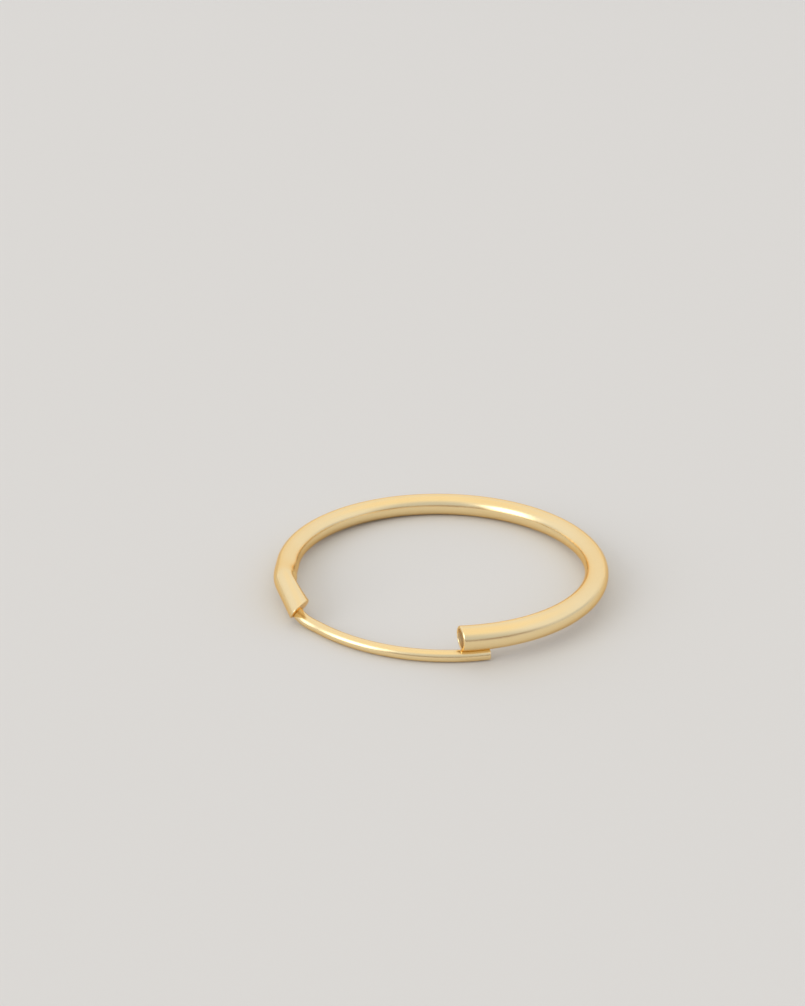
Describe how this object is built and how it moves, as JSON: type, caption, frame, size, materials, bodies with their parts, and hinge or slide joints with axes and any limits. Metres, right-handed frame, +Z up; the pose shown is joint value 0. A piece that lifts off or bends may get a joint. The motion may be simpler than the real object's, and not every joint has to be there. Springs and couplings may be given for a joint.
{
  "type": "hoop earring",
  "caption": "Plain round hoop earring of polished gold tube, unfastened and lying flat, with a thin ear post that springs into the tube's open mouth.",
  "frame": {"origin": "middle of the footprint, on the surface that the hoop lies on", "axes": "+Z up off the surface; the open mouth and the post's tip are at the -Y side, the kink and the crimped end at the -X side"},
  "size_m": [0.018, 0.018, 0.0019],
  "materials": {
    "gold_tube": "polished",
    "gold_post": "polished"
  },
  "bodies": {
    "root": {"hoop_tube": "gold_tube", "ear_post": "gold_post"}
  },
  "joints": []
}
